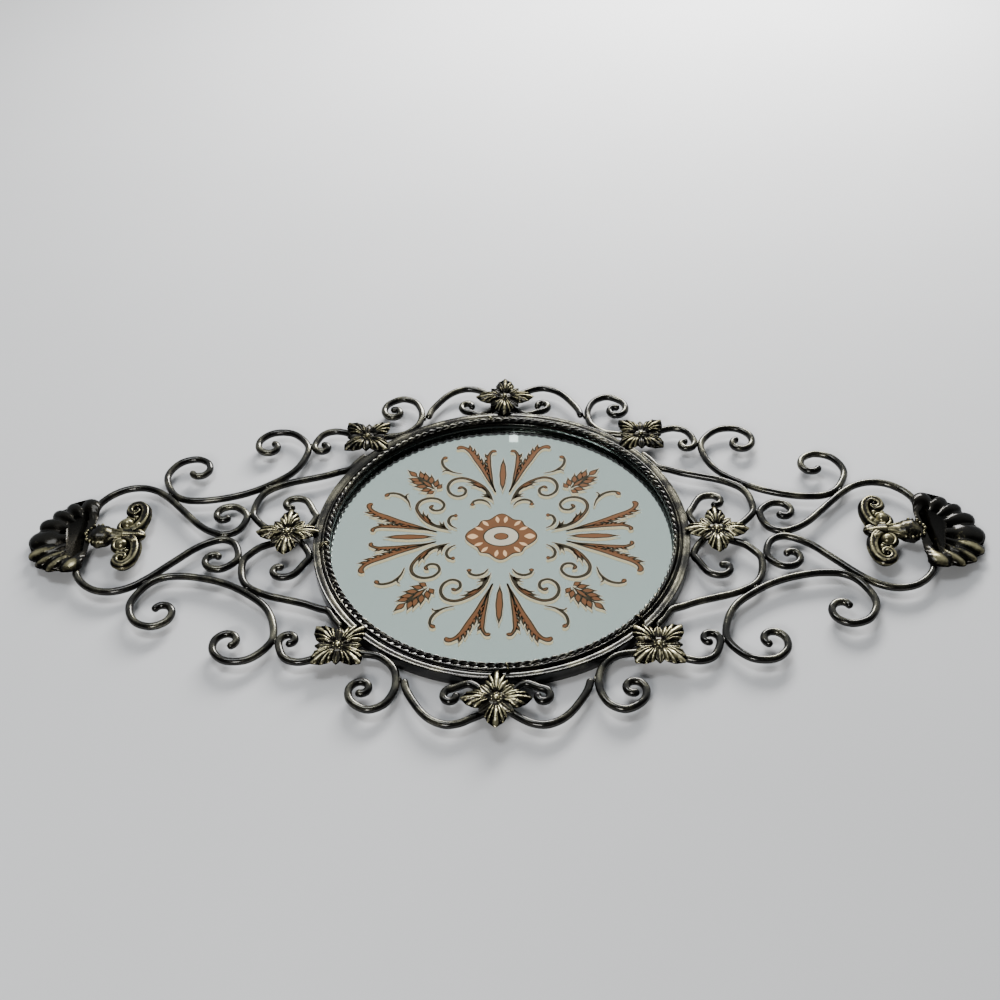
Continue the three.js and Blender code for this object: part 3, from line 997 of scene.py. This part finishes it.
def addSpindleAndLeaf(layer, turn):
    points, widths = spindle
    knots = [polar(x * ringRadius, turn) for x, z in points]
    layer.addStroke(smoothLine(knots, paint["spacing"]), widths)
    heading = turn + 45

    def onStem(offset):
        return polar((leaf["base"] + offset) * ringRadius, heading)

    layer.addStroke(*lens(onStem(leaf["stemStart"]), heading, leaf["stemLength"], leaf["stemWidth"]))
    for offset, lean, length in leaf["pairs"]:
        for side in (1, -1):
            start = onStem(offset) + polar(leaf["halfGap"] * ringRadius, heading + 90 * side)
            layer.addStroke(*lens(start, heading + lean * side, length, leaf["width"]))
    layer.addStroke(*lens(onStem(leaf["tipStart"]), heading, leaf["tipLength"], leaf["width"]))


def addRosette(layer):
    window = ellipse(rosette["window"])
    innerWindow = ellipse([half + paint["outline"] for half in rosette["window"]])
    layer.addStrip(rosetteEdge(-paint["halo"]), window, pale, -1, closed=True)
    layer.addRoundel(rosette["window"], pale, -1)
    layer.addStrip(rosetteEdge(), window, olive, 0, closed=True)
    layer.addStrip(rosetteEdge(paint["outline"]), innerWindow, copper, 1, closed=True)
    layer.addRoundel(rosette["eye"], olive, 0)
    layer.addRoundel([half * rosette["eyeCopper"] for half in rosette["eye"]], copper, 1)
    for x, z, length, width in rosette["slots"]:
        heading = math.degrees(math.atan2(z, x))
        line = lens(at(x, z) - polar(length / 2 * ringRadius, heading), heading, length, width)[0]
        widths = [(0, width * 0.5), (0.5, width), (1, width * 0.6)]
        edges = [[], []]
        for i, point in enumerate(line):
            share = i / (len(line) - 1)
            side = polar(follow(widths, share) * bluntEnds(share, 3) * ringRadius, heading + 90)
            edges[0].append(point + side)
            edges[1].append(point - side)
        for across, up in mirrored:
            lefts, rights = ([mirror(spot, across, up) for spot in edge] for edge in edges)
            layer.addStrip(lefts, rights, cream, 2)


addPaint()
print("pattern painted")


# Weld beads where bars meet: place in one quarter, direction in degrees, length in mm
welds = {
    "places": [
        (at(0.468, 0.985), 90, 3.2), (at(1.305, 0.388), 147, 4.0), (at(1.843, 0.333), 43, 4.0),
        (at(1.373, 0.172), 90, 3.4), (at(1.107, 0.74), 90, 3.2), (at(1.488, 0), 0, 3.6),
        (at(2.232, 0.232), 100, 3.6), (polar(ringRadius, 36), 126, 5.0), (polar(ringRadius, -8.5), 81, 3.4),
        (polar(ringRadius, 55.5), 145, 4.0), (polar(ringRadius, 97.5), 7, 3.4),
    ],
    "bead": (1.9 * mm, 1.5 * mm, 2.6 * mm),
    "spacing": 0.45 * mm,
    "rise": 0.6 * mm,
}


def addWelds():
    shape = Casting()
    for middle, heading, length in welds["places"]:
        for index, (name, across, up) in enumerate(quarters):
            for bit in range(3):
                spot = middle + polar((bit - 1) * length * welds["spacing"], heading)
                spot = mirror(spot, across, up)
                turn = math.radians(heading) * across * up
                size = 1.0 - 0.22 * abs(bit - 1) + 0.08 * sin(7 * index + 3 * bit + heading)
                depth = barDepth + welds["rise"] * cos(2 * bit + index)
                shape.addBead(place(spot, depth), [half * size for half in welds["bead"]], turn, steps=7)
    dress(shape.piece("weld_beads", blackenedSteel), "blackened_steel")


# The wire clips that hold the rope: angle and leans in degrees; the path is radius and depth in mm
clips = {
    "places": [(95, [0.6]), (186, [-1.2, 0.9]), (273, [0.6]), (318, [0.6])],
    "path": [(151.6, 12.2), (152.6, 15.4), (154.8, 16.4), (157.0, 15.6), (159.4, 12.8), (160.2, 10.2)],
    "wire": 0.95 * mm,
    "endShare": 0.7,
    "twist": 2.2,
    "sides": 10,
}


def addClips():
    shape = Casting()
    path = [Vector(point) * mm for point in clips["path"]]
    last = len(path) - 1
    for angle, leans in clips["places"]:
        outward, along = polar(1, angle), polar(1, angle + 90)
        for lean in leans:
            rows = []
            for i, (radius, depth) in enumerate(path):
                middle = place(polar(radius, angle + lean * (i / last - 0.5) * clips["twist"]), depth)
                ahead = (path[min(i + 1, last)] - path[max(i - 1, 0)]).normalized()
                thick = clips["wire"] * (clips["endShare"] if i in (0, last) else 1)
                ring = []
                for turn in around(clips["sides"]):
                    across = along * cos(turn) - outward * ahead.y * sin(turn)
                    ring.append(middle + place(across, ahead.x * sin(turn)) * thick)
                rows.append(ring)
            shape.addTube(rows)
    dress(shape.piece("rope_clips", antiqueGold), "antique_gold")


addWelds()
addClips()


# The hanging plate behind the top flower
hanger = {
    "width": 26 * mm,
    "thickness": 1.5 * mm,
    "reach": 13 * mm,
    "gap": 0.3 * mm,
    "hole": 7.5 * mm,
    "holeRise": 6.5 * mm,
    "bevel": 0.3 * mm,
    "footSteps": 12,
    "cornerSteps": 8,
    "holeSteps": 32,
}


def addHanger():
    half, inside = hanger["width"] / 2, ringRadius + hanger["gap"]
    corner = math.degrees(math.asin(half / inside))
    top, curve = ringRadius + hanger["reach"], hanger["width"] / 4
    steps = hanger["footSteps"]
    outline = [polar(inside, 90 - corner + 2 * corner * i / steps) for i in range(steps + 1)]
    steps = hanger["cornerSteps"]
    for side, start in ((-1, 180), (1, 90)):
        middle = Vector((side * (half - curve), top - curve))
        outline += [middle + polar(curve, start - 90 * i / steps) for i in range(steps + 1)]
    shape = bmesh.new()
    middle = Vector((0, ringRadius + hanger["holeRise"]))
    steps = hanger["holeSteps"]
    hole = [middle + polar(hanger["hole"] / 2, 360 * i / steps) for i in range(steps)]
    edges = []
    for loop in (outline, hole):
        corners = [shape.verts.new(place(point, 0)) for point in loop]
        edges += [shape.edges.new(ends) for ends in zip(corners, corners[1:] + corners[:1])]
    bmesh.ops.triangle_fill(shape, edges=edges, use_beauty=True)
    grown = bmesh.ops.extrude_face_region(shape, geom=shape.faces[:])
    moved = [part for part in grown["geom"] if isinstance(part, bmesh.types.BMVert)]
    bmesh.ops.translate(shape, verts=moved, vec=(0, -hanger["thickness"], 0))
    bmesh.ops.recalc_face_normals(shape, faces=shape.faces)
    rim = [edge for edge in shape.edges if edge.is_manifold and edge.calc_face_angle() > 1]
    bmesh.ops.bevel(shape, geom=rim, offset=hanger["bevel"], segments=2, affect="EDGES")
    mesh = bpy.data.meshes.new("hanging_plate")
    shape.to_mesh(mesh)
    shape.free()
    mesh.materials.append(zinc)
    dress(finishPiece("hanging_plate", mesh, smooth=False), "zinc_plate", "hanger_plate")


addHanger()
print("welds, clips and hanger added")


# Flowers
flower = {
    "radius": 28.4 * mm,
    "fingers": 5,
    "spread": 31,
    "base": 0.1,
    "columns": 9,
    "rows": 16,
    "ridge": 1.9 * mm,
    "sheet": 0.9 * mm,
    "crown": [(0, 1.3 * mm), (0.3, 3.5 * mm), (0.55, 4.3 * mm), (0.8, 3.5 * mm), (1, 2.0 * mm)],
    "droop": 1.1 * mm,
    "sepalRows": 12,
    "sepalColumns": 18,
    "sepalWidth": 0.165,
    "sepalSheet": 0.7 * mm,
    "cup": (7.668 * mm, 7.668 * mm, 1.2 * mm),
    "eye": (2.3 * mm, 2.3 * mm, 1.9 * mm),
    "dot": (0.85 * mm, 0.85 * mm, 0.8 * mm),
    "dotCircle": 3.9 * mm,
    "dots": 8,
    "crossingSeat": 13.1 * mm,
    "barSeat": 11.3 * mm,
}


# How high a petal or shell stands at v, which runs from -1 to 1 across its fingers
def fingerRidge(v, fingers):
    along = (v - 0.05 * sin(2 * pi * v) + 1) / 2 * fingers
    within = along - math.floor(min(along, fingers - 1e-6))
    return sin(pi * min(max(within, 0), 1)) ** 0.75


def addPetal(shape, middle, seat, turn, droop):
    fingers = flower["fingers"]

    def spotAt(u, v):
        ridge = fingerRidge(v, fingers)
        reach = (1 - 0.44 * abs(v) ** 1.3) * (1 - 0.2 * (1 - ridge))
        share = mix(flower["base"], reach, u)
        angle = turn + v * flower["spread"] * mix(0.62, 1.15, u ** 0.8)
        strength = smoothStep(u, 0, 0.3) * (1 - 0.3 * u)
        height = follow(flower["crown"], u) + flower["ridge"] * (ridge - 0.6) * strength
        height -= flower["droop"] * v * v * u + droop * smoothStep(u, 0.5, 1)
        under = height - flower["sheet"] * (1 - 0.35 * u)
        brightShare = mix(-0.3, 0.9 * ridge ** 1.5, strength) * smoothStep(u, 0.08, 0.45)
        spot = middle + polar(flower["radius"] * share, angle)
        return place(spot, seat + height), place(spot, seat + under), brightShare

    shape.addSheet(flower["rows"], fingers * flower["columns"], spotAt)


# The small leaf that shows between two petals
def addSepal(shape, middle, seat, turn):
    def spotAt(u, v):
        width = sin(pi * min(1, u * 0.72 + 0.14)) ** 0.8 * (1 - u ** 7)
        width = width * flower["sepalWidth"] + 0.004
        ridge = 0.5 + 0.5 * cos(3 * pi * v)
        along = polar(flower["radius"] * mix(0.12, 0.68, u), turn)
        spot = middle + along + polar(flower["radius"] * width * v, turn + 90)
        height = (1.0 + 1.2 * sin(pi * u * 0.8) - 0.9 * u + 0.7 * ridge - 0.5 * v * v) * mm
        under = height - flower["sepalSheet"]
        return place(spot, seat + height), place(spot, seat + under), 0.38 * ridge

    shape.addSheet(flower["sepalRows"], flower["sepalColumns"], spotAt)


def addFlower(name, middle, seat, turn, droop, finish):
    shape = Casting()
    for quarter in range(4):
        addPetal(shape, middle, seat, turn + 90 * quarter, droop)
        addSepal(shape, middle, seat, turn + 45 + 90 * quarter)
    shape.addBead(place(middle, seat + 1.3 * mm), flower["cup"], relief=0.05)
    shape.addBead(place(middle, seat + 3.0 * mm), flower["eye"], relief=1.0)
    for i in range(flower["dots"]):
        dot = middle + polar(flower["dotCircle"], turn + (i + 0.5) * 360 / flower["dots"])
        shape.addBead(place(dot, seat + 2.3 * mm), flower["dot"], steps=6, relief=0.55)
    dress(shape.piece("blossom_" + name, finish), "antique_gold", "flower_" + name)


# The photograph shows the three flowers at the top darker than the others
def addFlowers():
    # The top flower takes the darker copy of the gold: painted shade
    addFlower("top", crestCrossing, flower["crossingSeat"], 0, 0.6 * mm, shadedGold)
    for name, middle in (("bottom", -crestCrossing), ("right", sideCrossing), ("left", -sideCrossing)):
        addFlower(name, middle, flower["crossingSeat"], 0, 0.6 * mm, antiqueGold)
    for name, across, up in quarters:
        # The upper corner flowers take the darker copy of the gold: painted shade
        finish = shadedGold if up > 0 else antiqueGold
        addFlower(name, mirror(cornerSeat, across, up), flower["barSeat"], 45, 0.2 * mm, finish)


addFlowers()
print("flowers cast")


# Shells with their leaf bows
shell = {
    "middle": (2.275, 0),
    "radius": 46 * mm,
    "seat": 11.3 * mm,
    "fan": 108,
    "fingers": 9,
    "columns": 10,
    "rows": 22,
    "ridge": 3.0 * mm,
    "sheet": 1.5 * mm,
    "tipDrop": 8 * mm,
    "profile": [
        (0, 1.1 * mm), (0.3, 0.9 * mm), (0.5, 1.8 * mm), (0.78, 4.4 * mm), (0.92, 3.6 * mm), (1, 1.6 * mm)],
    "root": (2.2, 0.055),
}


def addFan(shape):
    middle = at(*shell["middle"])
    radius = shell["radius"]
    rootX, rootZ = shell["root"]

    def spotAt(u, v):
        ridge = fingerRidge(v, shell["fingers"]) ** mix(2.6, 0.8, smoothStep(u, 0.25, 0.85))
        rim = middle + polar(radius * (1 - 0.14 * (1 - ridge)), shell["fan"] * v)
        spot = mix(at(rootX, rootZ * v), rim, u)
        share = (spot - middle).length / radius
        forward = max(0, (spot - middle).normalized().x) if share > 0.001 else 0
        strength = smoothStep(u, 0.22, 0.6) * (1 - 0.25 * smoothStep(u, 0.85, 1))
        height = follow(shell["profile"], u) + shell["ridge"] * (ridge - 0.75) * strength
        depth = shell["seat"] + height - shell["tipDrop"] * forward * share
        # Painted highlight and shade: lobes on the lower side of the shell are made light and those on the
        # upper side dark, standing in for how the light falls on them
        litLowerLobes = 1.05 * smoothStep(-spot.y, -0.2 * radius, 0.5 * radius)
        tip = mix(0.45, 1.05, smoothStep(u, 0.5, 0.92))
        brightShare = mix(-0.5, ridge ** 3 * tip * litLowerLobes, strength)
        return place(spot, depth), place(spot, depth - shell["sheet"]), brightShare

    shape.addSheet(shell["rows"], shell["fingers"] * shell["columns"], spotAt)


# Radii along a rod with rounded ends
def roundedRadii(count, thick, ends=3):
    radii = []
    for i in range(count):
        radius = mix(*thick, i / (count - 1)) * ringRadius
        nearest = min(i, count - 1 - i)
        radii.append(radius * (sqrt(1 - (1 - nearest / ends) ** 2) if nearest < ends else 1) + 1e-5)
    return radii


# The leaf bow inside a shell, in shares of the ring's radius. Scrolls: line, thickness and lift (mm)
# at both ends, ribs. Buds: place, size, lift (mm).
bow = {
    "depth": barDepth + 2 * mm,
    "bellLine": [(1.99, 0), (2.04, 0), (2.09, 0), (2.13, 0), (2.17, 0), (2.212, 0)],
    "bell": [(0, 0.036), (0.2, 0.04), (0.42, 0.046), (0.62, 0.07), (0.8, 0.078), (0.93, 0.06), (1, 0.012)],
    "flute": [(2.0, 0.02), (2.06, 0.022), (2.11, 0.045)],
    "fluteThick": (0.017, 0.01),
    "collar": (2.16, 0),
    "collarBeads": 11,
    "tipLine": [(2.03, 0), (1.98, 0), (1.945, 0), (1.908, 0)],
    "tip": 0.05,
    "web": (1.985, 0.15),
    "webSize": (0.04, 0.068),
    "webThick": 1.6 * mm,
    "scrolls": [
        ([(2.0, 0.02), (1.965, 0.05), (1.944, 0.1), (1.94, 0.15), (1.952, 0.2), (1.982, 0.228), (2.015, 0.22),
          (2.03, 0.192), (2.02, 0.165), (1.998, 0.158), (1.985, 0.172), (1.992, 0.187)],
         (0.035, 0.019), (0, 2.2), 6),
        ([(1.99, 0.03), (2.03, 0.03), (2.058, 0.05), (2.062, 0.085), (2.042, 0.113), (2.008, 0.118),
          (1.985, 0.1)],
         (0.02, 0.013), (0, 1.5), 4),
        ([(2.0, 0.025), (1.975, 0.04), (1.962, 0.058)], (0.022, 0.016), (2, 3), 0),
    ],
    "buds": [
        (2.02, 0.078, 0.034, 2.2), (1.962, 0.062, 0.022, 3.2),
        (1.985, 0.128, 0.016, 2.0), (2.03, 0.132, 0.013, 1.5),
    ],
}


def bowLine(points, side, spacing):
    return smoothLine([at(x, z * side) for x, z in points], spacing * mm)


def addBow(shape):
    depth, unit = bow["depth"], ringRadius
    bell = bowLine(bow["bellLine"], 1, 0.9)
    radii = [follow(bow["bell"], i / (len(bell) - 1)) * unit for i in range(len(bell))]
    shape.addRod(bell, radii, [depth] * len(bell), sides=36, flatten=0.62, relief=0.38)
    for side in (1, -1):
        flute = bowLine(bow["flute"], side, 1.0)
        radii = roundedRadii(len(flute), bow["fluteThick"])
        shape.addRod(flute, radii, [depth + 2.6 * mm] * len(flute), sides=12)
    for i in range(bow["collarBeads"]):
        spot = at(*bow["collar"]) + polar((0.068 + 0.004 * cos(4 * i)) * unit, 19 * (i - 5))
        size = (1.5 + 0.35 * cos(2.4 * i)) * mm
        shape.addBead(place(spot, shell["seat"] + 2.2 * mm), (size, 1.15 * size, size), steps=8)
    tip = bowLine(bow["tipLine"], 1, 1.0)
    radii = []
    for i in range(len(tip)):
        radii.append((bow["tip"] * sqrt(max(0, 1 - (i / (len(tip) - 1)) ** 2)) + 0.001) * unit)
    shape.addRod(tip, radii, [depth + 0.6 * mm] * len(tip), sides=28, ribs=5, ribHeight=0.14, flatten=0.7)
    webSize = (bow["webSize"][0] * unit, bow["webSize"][1] * unit, bow["webThick"])
    for side in (1, -1):
        web = at(bow["web"][0], bow["web"][1] * side)
        shape.addBead(place(web, depth - 0.5 * mm), webSize, relief=0.0)
        for points, thick, lift, ribs in bow["scrolls"]:
            line = bowLine(points, side, 0.9)
            radii = roundedRadii(len(line), thick)
            depths = [depth + mix(*lift, i / (len(line) - 1)) * mm for i in range(len(line))]
            shape.addRod(line, radii, depths, sides=24, ribs=ribs, ribHeight=0.13)
        for x, z, size, lift in bow["buds"]:
            sizes = (size * unit, size * unit, size * unit * 0.95)
            shape.addBead(place(at(x, z * side), depth + lift * mm), sizes, steps=14, relief=0.85)


def addShells():
    for name, across in (("right", 1), ("left", -1)):
        shape = Casting()
        addFan(shape)
        addBow(shape)
        for vertex in shape.vertices:
            vertex.x *= across
        # The shells take the darker copy of the gold: painted shade
        dress(shape.piece("scallop_" + name, shadedGold), "antique_gold", "shell_" + name)


addShells()
print("shells cast")

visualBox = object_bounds()
boxes = {"cad": cadBox, "visual": visualBox}
{name: [list(corner) for corner in box] for name, box in boxes.items()}
